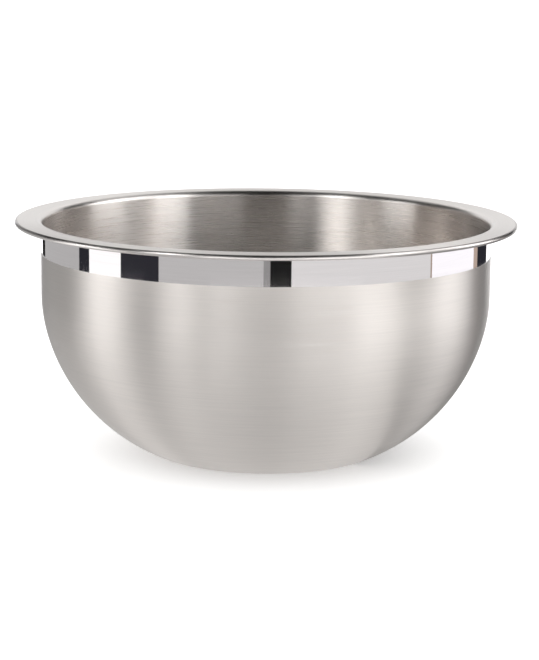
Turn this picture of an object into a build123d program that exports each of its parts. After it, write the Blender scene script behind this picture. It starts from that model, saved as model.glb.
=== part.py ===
from build123d import *
import os
from math import cos, radians, sin

os.makedirs("parts", exist_ok=True)

# A deep-drawn stainless mixing bowl: one sheet, turned about +Z, standing on z = 0.
# Millimetres and degrees. Angles along the wall are measured from the vertical.

# ---- driving dimensions ----
sheet = 0.7  # the steel, the same thickness everywhere
inner_diameter = 240.0  # across the straight wall, inside
rim_diameter = 269.0  # across the outside of the rolled edge
height = 127.0  # table to the flat top of the rim
straight_depth = 39.5  # rim top down to where the wall starts to round in
shoulder_radius = 82.0  # first curve below the straight wall, outside
shoulder_angle = 16.0  # lean of the wall where that curve ends
belly_angle = 65.5  # lean of the wall where the main curve ends
heel_radius = 20.0  # tight curve from the belly to the flat base, outside
band_depth = 17.5  # rim top down to the lower edge of the polished band
rim_fillet = 3.0  # bend from the wall out to the rim, on its upper side
edge_thickness = 2.6  # height of the rolled edge
edge_return = 2.0  # flat leg that the rolled edge ends in, under the rim

# ---- worked out from them ----
wall_radius = inner_diameter / 2 + sheet  # outside of the straight wall
straight_bottom = height - straight_depth
band_bottom = height - band_depth
band_top = height - rim_fillet
roll_radius = edge_thickness / 2
roll_centre = (rim_diameter / 2 - roll_radius, height - roll_radius)
fillet_centre = (inner_diameter / 2 + rim_fillet, height - rim_fillet)
# The belly's radius is the one that brings the wall down to z = 0 through both curves.
belly_radius = (
    straight_bottom
    - shoulder_radius * sin(radians(shoulder_angle))
    - heel_radius * (1 - sin(radians(belly_angle)))
) / (sin(radians(belly_angle)) - sin(radians(shoulder_angle)))


def along(centre, radius, lean):
    """The point at this lean on a curve of the wall, as (r, z)."""
    return (centre[0] + radius * cos(radians(lean)), centre[1] - radius * sin(radians(lean)))


def curves():
    """The wall's curves from the top down: (centre, outer radius, lean at the top, lean at the foot)."""
    steps = (
        (shoulder_radius, 0.0, shoulder_angle),
        (belly_radius, shoulder_angle, belly_angle),
        (heel_radius, belly_angle, 90.0),
    )
    found = []
    start = (wall_radius, straight_bottom)
    for radius, lean_top, lean_foot in steps:
        centre = along(start, -radius, lean_top)
        found.append((centre, radius, lean_top, lean_foot))
        start = along(centre, radius, lean_foot)
    return found


base_radius = curves()[-1][0][0]  # the heel ends straight below its centre


def turned(section):
    """One solid, from a closed section in the XZ plane turned all the way round Z."""
    return revolve(section, Axis.Z, 360)


def strip(low_r, high_r, low_z, high_z):
    """A rectangular section, given as (r, z) limits."""
    with BuildSketch(Plane.XZ) as section:
        with Locations(((low_r + high_r) / 2, (low_z + high_z) / 2)):
            Rectangle(high_r - low_r, high_z - low_z)
    return section.sketch


def bend(centre, outer, inner, start, sweep):
    """A section of sheet bent round a centre, from angle start (0 is +r, 90 is +z) through sweep."""
    with BuildSketch(Plane.XZ) as section:
        with BuildLine():
            outside = CenterArc(centre, outer, start, sweep)
            inside = CenterArc(centre, inner, start, sweep)
            Line(outside @ 0, inside @ 0)
            Line(outside @ 1, inside @ 1)
        make_face()
    return section.sketch


def base_disc():
    """The flat round that stands on the table."""
    return Cylinder(base_radius, sheet, align=(Align.CENTER, Align.CENTER, Align.MIN))


def rounded_body():
    """The brushed shell below the straight wall: shoulder, belly and heel."""
    section = Sketch()
    for centre, radius, lean_top, lean_foot in curves():
        section += bend(centre, radius, radius - sheet, -lean_top, lean_top - lean_foot)
    return turned(section)


def straight_wall():
    """The brushed stretch of the straight wall, from the rounded body up to the band."""
    return turned(strip(wall_radius - sheet, wall_radius, straight_bottom, band_bottom))


def polished_band():
    """The mirror-polished stretch of the straight wall, just under the rim."""
    return turned(strip(wall_radius - sheet, wall_radius, band_bottom, band_top))


def rim_flange():
    """The bend at the mouth and the flat rim that runs out from it."""
    corner = bend(fillet_centre, rim_fillet, rim_fillet - sheet, 180, -90)
    flat = strip(fillet_centre[0], roll_centre[0], height - sheet, height)
    return turned(corner + flat)


def rolled_edge():
    """The rim's outer edge, rolled over and under into a hollow bead that ends in a flat leg."""
    roll = bend(roll_centre, roll_radius, roll_radius - sheet, 90, -180)
    foot = height - edge_thickness
    leg = strip(roll_centre[0] - edge_return, roll_centre[0], foot, foot + sheet)
    return turned(roll + leg)


nodes = (base_disc, rounded_body, straight_wall, polished_band, rim_flange, rolled_edge)
for make in nodes:
    node = make()
    export_step(node, f"parts/{make.__name__}.step")
    print(make.__name__, "volume", round(node.volume), "mm3")

print("belly radius", round(belly_radius, 2), "base radius", round(base_radius, 2))
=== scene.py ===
from math import cos, pi, radians, sin

import bpy
from mathutils import Matrix, Vector


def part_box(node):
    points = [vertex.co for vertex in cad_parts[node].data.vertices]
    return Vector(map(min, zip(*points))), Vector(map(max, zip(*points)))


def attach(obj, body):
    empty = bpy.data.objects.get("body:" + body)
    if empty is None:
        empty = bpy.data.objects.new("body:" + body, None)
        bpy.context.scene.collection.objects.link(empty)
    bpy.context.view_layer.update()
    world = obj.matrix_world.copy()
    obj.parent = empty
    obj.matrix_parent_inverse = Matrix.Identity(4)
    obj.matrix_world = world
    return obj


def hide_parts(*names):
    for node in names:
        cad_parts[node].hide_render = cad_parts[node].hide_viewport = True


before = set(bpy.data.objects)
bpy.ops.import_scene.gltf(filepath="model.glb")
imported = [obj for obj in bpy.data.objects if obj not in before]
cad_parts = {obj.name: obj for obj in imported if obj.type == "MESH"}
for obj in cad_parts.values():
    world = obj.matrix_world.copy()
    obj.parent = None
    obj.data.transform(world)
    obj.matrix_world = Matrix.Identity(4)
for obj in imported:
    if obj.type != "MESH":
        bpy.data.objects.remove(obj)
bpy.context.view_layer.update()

# ---------------------------------------------------------------------------
# Sizes, in metres. They come from the frame; the wall's curves are repeated here,
# because a box can't tell them.
# ---------------------------------------------------------------------------
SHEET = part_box("base_disc")[1].z
BASE_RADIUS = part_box("base_disc")[1].x
WALL_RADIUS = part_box("straight_wall")[1].x
STRAIGHT_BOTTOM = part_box("straight_wall")[0].z
BAND_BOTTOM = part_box("polished_band")[0].z
BAND_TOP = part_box("polished_band")[1].z
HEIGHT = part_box("rim_flange")[1].z
EDGE_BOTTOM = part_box("rolled_edge")[0].z
FLAT_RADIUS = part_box("rolled_edge")[1].x - (HEIGHT - EDGE_BOTTOM) / 2

SHOULDER_RADIUS, SHOULDER_LEAN = 0.082, 16.0
BELLY_LEAN = 65.5
HEEL_RADIUS = 0.020
EDGE_RETURN = 0.002

ROUND_STEPS = 360  # faces round the axis
ON_AXIS = 1e-7  # a point nearer the axis than this is a single vertex
ARC_STEP = 1.5  # degrees between points on the wall's curves
BEND_STEP = 7.5  # degrees between points on the small bends


# ---------------------------------------------------------------------------
# Turned sheet
# ---------------------------------------------------------------------------
def arc(centre, radius, start, stop, step, turn=1):
    """Points on an arc in the (r, z) plane with their normals, from angle start to stop in degrees.

    turn is 1 where the surface looks away from the centre and -1 where it looks at it.
    """
    count = max(2, round(abs(stop - start) / step))
    run = []
    for i in range(count + 1):
        angle = radians(start + (stop - start) * i / count)
        out = Vector((cos(angle), sin(angle)))
        run.append((Vector(centre) + radius * out, turn * out))
    return run


def line(start, stop):
    """The two ends of a straight run, with the normal on its right, away from the material."""
    start, stop = Vector(start), Vector(stop)
    along = (stop - start).normalized()
    normal = Vector((along.y, -along.x))
    return [(start, normal), (stop, normal)]


def spin(name, runs, inside=()):
    """A closed solid of revolution. runs go once round its section, the material on their left.

    The runs numbered in inside take the piece's second material.
    """

    def key(point):
        return round(point.x, 8), round(point.y, 8)

    rows, row_of = [], {}
    for run in runs:
        for point, _ in run:
            if key(point) not in row_of:
                row_of[key(point)] = len(rows)
                rows.append(point)
    turns = [(cos(2 * pi * k / ROUND_STEPS), sin(2 * pi * k / ROUND_STEPS)) for k in range(ROUND_STEPS)]
    first, verts = [], []
    for point in rows:
        first.append(len(verts))
        around = turns if point.x > ON_AXIS else [(0.0, 0.0)]
        verts += [(point.x * c, point.x * s, point.y) for c, s in around]

    def vert(row, k):
        return first[row] + (k % ROUND_STEPS if rows[row].x > ON_AXIS else 0)

    faces, normals, finish = [], [], []
    for number, run in enumerate(runs):
        finish += [int(number in inside)] * (ROUND_STEPS * (len(run) - 1))
        for (a, na), (b, nb) in zip(run, run[1:]):
            ra, rb = row_of[key(a)], row_of[key(b)]
            for k in range(ROUND_STEPS):
                corners = [(ra, k, na), (ra, k + 1, na), (rb, k + 1, nb), (rb, k, nb)]
                kept, seen = [], set()
                for row, step, normal in corners:
                    index = vert(row, step)
                    if index not in seen:
                        seen.add(index)
                        kept.append((index, step, normal))
                faces.append([index for index, _, _ in kept])
                for _, step, normal in kept:
                    c, s = turns[step % ROUND_STEPS]
                    normals.append((normal.x * c, normal.x * s, normal.y))
    mesh = bpy.data.meshes.new(name)
    mesh.from_pydata(verts, [], faces)
    mesh.polygons.foreach_set("use_smooth", [True] * len(faces))
    mesh.polygons.foreach_set("material_index", finish)
    mesh.update()
    mesh.normals_split_custom_set(normals)
    piece = bpy.data.objects.new(name, mesh)
    bpy.context.scene.collection.objects.link(piece)
    return piece


def wall_curves():
    """(centre, outer radius, lean at the top, lean at the foot) of the shoulder, belly and heel."""
    top, foot = radians(SHOULDER_LEAN), radians(BELLY_LEAN)
    belly = STRAIGHT_BOTTOM - SHOULDER_RADIUS * sin(top) - HEEL_RADIUS * (1 - sin(foot))
    belly /= sin(foot) - sin(top)
    found = []
    start = Vector((WALL_RADIUS, STRAIGHT_BOTTOM))
    steps = (
        (SHOULDER_RADIUS, 0, SHOULDER_LEAN),
        (belly, SHOULDER_LEAN, BELLY_LEAN),
        (HEEL_RADIUS, BELLY_LEAN, 90),
    )
    for radius, lean_top, lean_foot in steps:
        centre = start - radius * Vector((cos(radians(lean_top)), -sin(radians(lean_top))))
        found.append((centre, radius, lean_top, lean_foot))
        start = centre + radius * Vector((cos(radians(lean_foot)), -sin(radians(lean_foot))))
    return found


def base_plate():
    """The flat round at the bottom."""
    low, high = 0.0, SHEET
    return spin("base_plate", [
        line((0, low), (BASE_RADIUS, low)),
        line((BASE_RADIUS, low), (BASE_RADIUS, high)),
        line((BASE_RADIUS, high), (0, high)),
    ], inside=(2,))


def body_shell():
    """Shoulder, belly and heel."""
    curves = wall_curves()
    outside = [arc(c, r, -top, -foot, ARC_STEP) for c, r, top, foot in curves]
    inside = [arc(c, r - SHEET, -foot, -top, ARC_STEP, -1) for c, r, top, foot in reversed(curves)]
    outside = [list(reversed(run)) for run in reversed(outside)]
    inside = [list(reversed(run)) for run in reversed(inside)]
    foot = line(inside[-1][-1][0], outside[0][0][0])
    mouth = line(outside[-1][-1][0], inside[0][0][0])
    return spin("body_shell", outside + [mouth] + inside + [foot], inside=(4, 5, 6))


def wall_ring(name, low, high):
    """A stretch of the straight wall."""
    outer, inner = WALL_RADIUS, WALL_RADIUS - SHEET
    return spin(name, [
        line((outer, low), (outer, high)),
        line((outer, high), (inner, high)),
        line((inner, high), (inner, low)),
        line((inner, low), (outer, low)),
    ], inside=(2,))


def flat_rim():
    """The bend at the mouth and the flat rim."""
    bend = HEIGHT - BAND_TOP
    centre = (WALL_RADIUS - SHEET + bend, BAND_TOP)
    return spin("flat_rim", [
        arc(centre, bend - SHEET, 180, 90, BEND_STEP, -1),
        line((centre[0], HEIGHT - SHEET), (FLAT_RADIUS, HEIGHT - SHEET)),
        line((FLAT_RADIUS, HEIGHT - SHEET), (FLAT_RADIUS, HEIGHT)),
        line((FLAT_RADIUS, HEIGHT), (centre[0], HEIGHT)),
        arc(centre, bend, 90, 180, BEND_STEP),
        line((WALL_RADIUS - SHEET, BAND_TOP), (WALL_RADIUS, BAND_TOP)),
    ])


def rim_roll():
    """The rolled edge and the flat leg that it ends in."""
    outer = (HEIGHT - EDGE_BOTTOM) / 2
    inner = outer - SHEET
    centre = (FLAT_RADIUS, HEIGHT - outer)
    leg = FLAT_RADIUS - EDGE_RETURN
    return spin("rim_roll", [
        line((leg, EDGE_BOTTOM), (FLAT_RADIUS, EDGE_BOTTOM)),
        arc(centre, outer, -90, 90, BEND_STEP),
        line((FLAT_RADIUS, HEIGHT), (FLAT_RADIUS, HEIGHT - SHEET)),
        arc(centre, inner, 90, -90, BEND_STEP, -1),
        line((FLAT_RADIUS, EDGE_BOTTOM + SHEET), (leg, EDGE_BOTTOM + SHEET)),
        line((leg, EDGE_BOTTOM + SHEET), (leg, EDGE_BOTTOM)),
    ])


# ---------------------------------------------------------------------------
# Steel
# ---------------------------------------------------------------------------
QUARTER_TURN = 0.25  # turns the spread of reflections across the lines
AXIS_GUARD = 1e-4  # keeps the direction round the axis defined on the axis itself, in metres
SMOOTHEST = 0.01  # roughness never goes below this
BROAD = 4  # the broad lines are this many times as far apart as the fine ones
BROAD_SHARE = 0.7  # how much the broad lines count beside the fine ones
TONE_SHARE = 0.2  # of the grain, in the colour
DULL_SHARE = 0.25  # of the grain, in the dull patches
PATCHES_PER_METRE = 22.0
LINE_GAP = 0.0003  # between the fine lines


def steel(name, colour, roughness, anisotropy, grain, groove):
    """Stainless steel with fine lines that run round the axis.

    anisotropy spreads reflections across the lines. grain is how much the lines change the
    roughness and the tone, and groove is their depth in metres.
    """
    mat = bpy.data.materials.new(name)
    mat.use_nodes = True
    nodes, links = mat.node_tree.nodes, mat.node_tree.links
    shader = nodes["Principled BSDF"]
    shader.inputs["Metallic"].default_value = 1.0
    shader.inputs["Anisotropic"].default_value = anisotropy
    shader.inputs["Anisotropic Rotation"].default_value = QUARTER_TURN

    def math(operation, *values):
        node = nodes.new("ShaderNodeMath")
        node.operation = operation
        for socket, value in zip(node.inputs, values):
            if isinstance(value, (int, float)):
                socket.default_value = value
            else:
                links.new(value, socket)
        return node.outputs[0]

    tangent = nodes.new("ShaderNodeTangent")
    tangent.direction_type = "RADIAL"
    tangent.axis = "Z"
    links.new(tangent.outputs["Tangent"], shader.inputs["Tangent"])

    # Where the point is: direction round the axis, height and distance from the axis.
    coords = nodes.new("ShaderNodeTexCoord")
    split = nodes.new("ShaderNodeSeparateXYZ")
    links.new(coords.outputs["Object"], split.inputs[0])
    x, y, z = split.outputs
    squares = math("ADD", math("MULTIPLY", x, x), math("MULTIPLY", y, y))
    reach = math("MAXIMUM", math("SQRT", squares), AXIS_GUARD)

    def lines(gap, turns, detail):
        """Noise about 0, stretched round the axis: gap between lines, turns is how often they change."""
        join = nodes.new("ShaderNodeCombineXYZ")
        links.new(math("MULTIPLY", math("DIVIDE", x, reach), turns), join.inputs[0])
        links.new(math("MULTIPLY", math("DIVIDE", y, reach), turns), join.inputs[1])
        links.new(math("DIVIDE", z, gap), join.inputs[2])
        noise = nodes.new("ShaderNodeTexNoise")
        noise.noise_dimensions = "4D"
        noise.inputs["Scale"].default_value = 1.0
        noise.inputs["Detail"].default_value = detail
        noise.inputs["Roughness"].default_value = 0.55
        links.new(join.outputs[0], noise.inputs["Vector"])
        links.new(math("DIVIDE", reach, gap), noise.inputs["W"])
        return math("SUBTRACT", noise.outputs["Fac"], 0.5)

    fine = lines(LINE_GAP, turns=4.0, detail=1.0)
    broad = lines(LINE_GAP * BROAD, turns=2.5, detail=2.0)
    both = math("ADD", fine, math("MULTIPLY", broad, BROAD_SHARE))

    # Handling: broad patches that are a little duller.
    patch = nodes.new("ShaderNodeTexNoise")
    patch.inputs["Scale"].default_value = PATCHES_PER_METRE
    patch.inputs["Detail"].default_value = 3.0
    links.new(coords.outputs["Object"], patch.inputs["Vector"])
    dull = math("MULTIPLY", math("SUBTRACT", patch.outputs["Fac"], 0.5), DULL_SHARE * grain)

    change = math("ADD", math("MULTIPLY", both, grain), dull)
    rough = math("ADD", roughness, math("MULTIPLY", change, roughness))
    links.new(math("MAXIMUM", rough, SMOOTHEST), shader.inputs["Roughness"])

    tone = nodes.new("ShaderNodeMix")
    tone.data_type = "RGBA"
    tone.clamp_factor = True
    tone.inputs["A"].default_value = (*(c * (1 - TONE_SHARE * grain) for c in colour), 1)
    tone.inputs["B"].default_value = (*(min(1.0, c * (1 + TONE_SHARE * grain)) for c in colour), 1)
    links.new(math("ADD", both, 0.5), tone.inputs["Factor"])
    links.new(tone.outputs["Result"], shader.inputs["Base Color"])

    bump = nodes.new("ShaderNodeBump")
    bump.inputs["Strength"].default_value = 1.0
    bump.inputs["Distance"].default_value = groove
    links.new(both, bump.inputs["Height"])
    links.new(bump.outputs["Normal"], shader.inputs["Normal"])
    return mat


# ---------------------------------------------------------------------------
# Build
# ---------------------------------------------------------------------------
# name, colour, roughness, anisotropy, grain, groove
brushed = steel("brushed_outside", (0.815, 0.775, 0.742), 0.5, 0.92, 0.35, 2e-6)
brushed_inside = steel("brushed_inside", (0.80, 0.76, 0.73), 0.28, 0.94, 0.4, 5e-7)
mirror = steel("polished_steel", (0.90, 0.865, 0.868), 0.03, 0.3, 0.2, 2e-8)
satin = steel("satin_rim_steel", (0.91, 0.87, 0.84), 0.34, 0.8, 0.3, 1e-6)
# Painted shade: a darker copy of the rim's satin steel, only to tame the bead's highlight.
shaded_satin = steel("satin_steel_painted_shade", (0.64, 0.61, 0.59), 0.34, 0.8, 0.3, 1e-6)

bottom = base_plate()
shell = body_shell()
brushed_wall = wall_ring("brushed_wall", STRAIGHT_BOTTOM, BAND_BOTTOM)
mirror_band = wall_ring("mirror_band", BAND_BOTTOM, BAND_TOP)

pieces = (
    # piece, the node it replaces, its slot, its finishes: outside and inside, or one for both
    (bottom, "base_disc", "brushed_steel", (brushed, brushed_inside)),
    (shell, "rounded_body", "brushed_steel", (brushed, brushed_inside)),
    (brushed_wall, "straight_wall", "brushed_steel", (brushed, brushed_inside)),
    (mirror_band, "polished_band", "polished_steel", (mirror, brushed_inside)),
    (flat_rim(), "rim_flange", "satin_rim_steel", (satin,)),
    # the rolled edge takes the darker satin: painted shade that dims the bead's highlight
    (rim_roll(), "rolled_edge", "satin_rim_steel", (shaded_satin,)),
)
for piece, node, slot, finishes in pieces:
    for finish in finishes:
        piece.data.materials.append(finish)
    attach(piece, "root")
    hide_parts(node)


# ---------------------------------------------------------------------------
# Studio: a round tent of cards that only reflections see, a pale floor and an even sky
# ---------------------------------------------------------------------------
TENT_RADIUS, TENT_HEIGHT = 0.75, 0.75
CARD_STEP = 2  # degrees between the points of a card
WHITE, LILAC, TAN, NAVY = (1, 1, 1), (0.96, 0.96, 1.0), (1.0, 0.8, 0.68), (0.8, 0.8, 1.0)


def emitter(name, tint, level):
    mat = bpy.data.materials.new(name)
    mat.use_nodes = True
    nodes, links = mat.node_tree.nodes, mat.node_tree.links
    nodes.remove(nodes["Principled BSDF"])
    glow = nodes.new("ShaderNodeEmission")
    glow.inputs["Color"].default_value = (*tint, 1)
    glow.inputs["Strength"].default_value = level
    links.new(glow.outputs["Emission"], nodes["Material Output"].inputs["Surface"])
    return mat


def card(name, start, stop, near, far, level, tint=WHITE):
    """A card round the bowl from azimuth start to stop, where 0 is the camera's side and + its right.

    near and far are the (radius, height) of its two long edges.
    """
    count = max(1, round((stop - start) / CARD_STEP))
    verts, faces = [], []
    for i in range(count + 1):
        turn = radians(start + (stop - start) * i / count)
        verts += [(radius * sin(turn), -radius * cos(turn), z) for radius, z in (near, far)]
    for i in range(count):
        a = 2 * i
        faces.append((a, a + 1, a + 3, a + 2))
    mesh = bpy.data.meshes.new(name)
    mesh.from_pydata(verts, [], faces)
    mesh.materials.append(emitter(name, tint, level))
    obj = bpy.data.objects.new(name, mesh)
    bpy.context.scene.collection.objects.link(obj)
    for ray in ("camera", "diffuse", "transmission", "volume_scatter", "shadow"):
        setattr(obj, "visible_" + ray, False)


# The foot of the tent is what the mirror band shows: pale panels with dark gaps between them. Each
# entry gives where a panel or gap ends, running on from the one before it, from behind the bowl
# round by its left. These azimuths were worked out from the band in the photo and rounded.
FOOT_HEIGHT = 0.15
FOOT = (
    (-151, 1.8, LILAC), (-143, 0.02, WHITE), (-100, 0.47, WHITE), (-92, 0.03, NAVY), (-71, 1.15, WHITE),
    (-50, 0.035, NAVY), (-1, 0.53, WHITE), (2, 0.3, WHITE), (11.5, 0.01, WHITE), (83.5, 0.75, WHITE),
    (84.5, 0.4, TAN), (121, 1.15, LILAC), (126, 0.5, TAN), (142, 0.03, NAVY), (180, 1.6, WHITE),
)
start = -180
for number, (stop, level, tint) in enumerate(FOOT):
    card(f"foot_{number:02d}", start, stop, (TENT_RADIUS, 0), (TENT_RADIUS, FOOT_HEIGHT), level, tint)
    start = stop

# Soft boxes above it, which the brushed steel shows as broad streaks. Between them it is dark.
# They and the level cards were set from trial renders, starting from a fit to the photo.
BOXES = (
    # name, azimuth from, to, foot, head, brightness
    ("left_far_back", -150, -112, FOOT_HEIGHT, 0.4, 0.2),
    ("left_back", -92, -83, FOOT_HEIGHT, 0.25, 5.4),
    ("left", -83, -71, FOOT_HEIGHT, 0.3, 4.0),
    ("left_front_low", -71, -20, FOOT_HEIGHT, 0.25, 0.9),
    ("left_front", -54, -30, 0.25, 0.4, 3.6),
    ("left_front_high", -50, -38, 0.4, TENT_HEIGHT, 5.0),
    ("front", -26, -14, FOOT_HEIGHT, 0.4, 1.5),
    ("right_front", 14, 44, FOOT_HEIGHT, 0.4, 1.1),
    ("right", 46, 68, FOOT_HEIGHT, 0.6, 3.5),
    ("right_gap", 68, 88, FOOT_HEIGHT, 0.4, 1.2),
    ("right_back", 88, 115, FOOT_HEIGHT, 0.4, 3.5),
    ("right_back_high", 80, 110, 0.4, TENT_HEIGHT, 2.6),
    ("back", 150, 210, FOOT_HEIGHT, 0.4, 0.8),
    ("back_high", 155, 205, 0.4, TENT_HEIGHT, 1.0),
)
for name, start, stop, foot, head, level in BOXES:
    card("box_" + name, start, stop, (TENT_RADIUS, foot), (TENT_RADIUS, head), level)

# Level cards: the roof, and the lit ground as the steel sees it.
CARD_FLOOR, ROOF = -0.0001, TENT_HEIGHT
CENTRE = 0.0005  # where the near ground starts, so that its faces don't end in a point
GROUND_SPLIT, ROOF_EDGE = 0.35, 0.45  # where the near ground ends and where the roof starts
LEVEL_CARDS = (
    # name, azimuth from, to, inner and outer radius, height, brightness
    ("roof_right", 60, 100, ROOF_EDGE, TENT_RADIUS, ROOF, 1.9),
    ("roof_back", 140, 220, ROOF_EDGE, TENT_RADIUS, ROOF, 0.5),
    ("ground_near_right", 55, 150, CENTRE, GROUND_SPLIT, CARD_FLOOR, 0.3),
    ("ground_near", 150, 415, CENTRE, GROUND_SPLIT, CARD_FLOOR, 0.65),
    ("ground_front_left", -25, 5, GROUND_SPLIT, TENT_RADIUS, CARD_FLOOR, 3.5),
    ("ground_front_right", 5, 45, GROUND_SPLIT, TENT_RADIUS, CARD_FLOOR, 4.0),
    ("ground_right", 45, 98, GROUND_SPLIT, TENT_RADIUS, CARD_FLOOR, 0.3),
    ("ground_back", 125, 262, GROUND_SPLIT, TENT_RADIUS, CARD_FLOOR, 0.6),
    ("ground_left", 262, 302, GROUND_SPLIT, TENT_RADIUS, CARD_FLOOR, 2.8),
    ("ground_left_front", 302, 335, GROUND_SPLIT, TENT_RADIUS, CARD_FLOOR, 0.4),
)
for name, start, stop, inner, outer, z, level in LEVEL_CARDS:
    card(name, start, stop, (inner, z), (outer, z), level)

# The sky lights the floor, where the bowl leaves a faint shadow. Reflections show neither of them.
FLOOR_RADIUS, FLOOR_HEIGHT, FLOOR_SIDES = 12.0, -0.0003, 96
SKY_STRENGTH = 1.45

floor_mat = bpy.data.materials.new("floor")
floor_mat.use_nodes = True
paint = floor_mat.node_tree.nodes["Principled BSDF"].inputs
paint["Base Color"].default_value = (0.9, 0.9, 0.9, 1)
paint["Roughness"].default_value = 0.9
paint["Specular IOR Level"].default_value = 0.0
paint["Emission Color"].default_value = (1, 1, 1, 1)
paint["Emission Strength"].default_value = 0.25  # keeps the contact shadow faint

floor_turns = [2 * pi * k / FLOOR_SIDES for k in range(FLOOR_SIDES)]
floor_mesh = bpy.data.meshes.new("floor")
floor_mesh.from_pydata(
    [(FLOOR_RADIUS * cos(turn), FLOOR_RADIUS * sin(turn), FLOOR_HEIGHT) for turn in floor_turns],
    [],
    [tuple(range(FLOOR_SIDES))],
)
floor_mesh.materials.append(floor_mat)
floor = bpy.data.objects.new("floor", floor_mesh)
bpy.context.scene.collection.objects.link(floor)
floor.visible_glossy = False

world = bpy.data.worlds.new("studio")
bpy.context.scene.world = world
world.use_nodes = True
sky = world.node_tree.nodes["Background"].inputs
sky["Color"].default_value = (1, 1, 1, 1)
sky["Strength"].default_value = SKY_STRENGTH
world.cycles_visibility.glossy = False
bpy.context.scene.view_settings.view_transform = "Standard"

# ---------------------------------------------------------------------------
# Camera, as fitted to the bowl's outline in the photo
# ---------------------------------------------------------------------------
CAMERA_DISTANCE = 1.193  # metres from the middle of the mouth
CAMERA_ELEVATION = 7.694  # degrees above the plane of the rim
CAMERA_TURN = (-2.89, -0.111, -0.583)  # tilt, pan and roll in degrees, from facing the mouth's middle
CAMERA_LENS = 120.87

lift = radians(CAMERA_ELEVATION)
right = Vector((1, 0, 0))
forward = Vector((0, cos(lift), -sin(lift)))
up = right.cross(forward)
tilt, pan, roll = (radians(a) for a in CAMERA_TURN)
turn = Matrix.Rotation(tilt, 3, right)
forward, up = turn @ forward, turn @ up
turn = Matrix.Rotation(pan, 3, up)
forward, right = turn @ forward, turn @ right
turn = Matrix.Rotation(roll, 3, forward)
right, up = turn @ right, turn @ up

camera = bpy.data.objects.new("camera", bpy.data.cameras.new("camera"))
camera.data.lens = CAMERA_LENS
camera.data.clip_start = 0.05
place = Matrix((right, up, -forward)).transposed().to_4x4()
mouth = Vector((0, 0, HEIGHT))
place.translation = mouth + CAMERA_DISTANCE * Vector((0, -cos(lift), sin(lift)))
camera.matrix_world = place
bpy.context.scene.collection.objects.link(camera)
bpy.context.scene.camera = camera
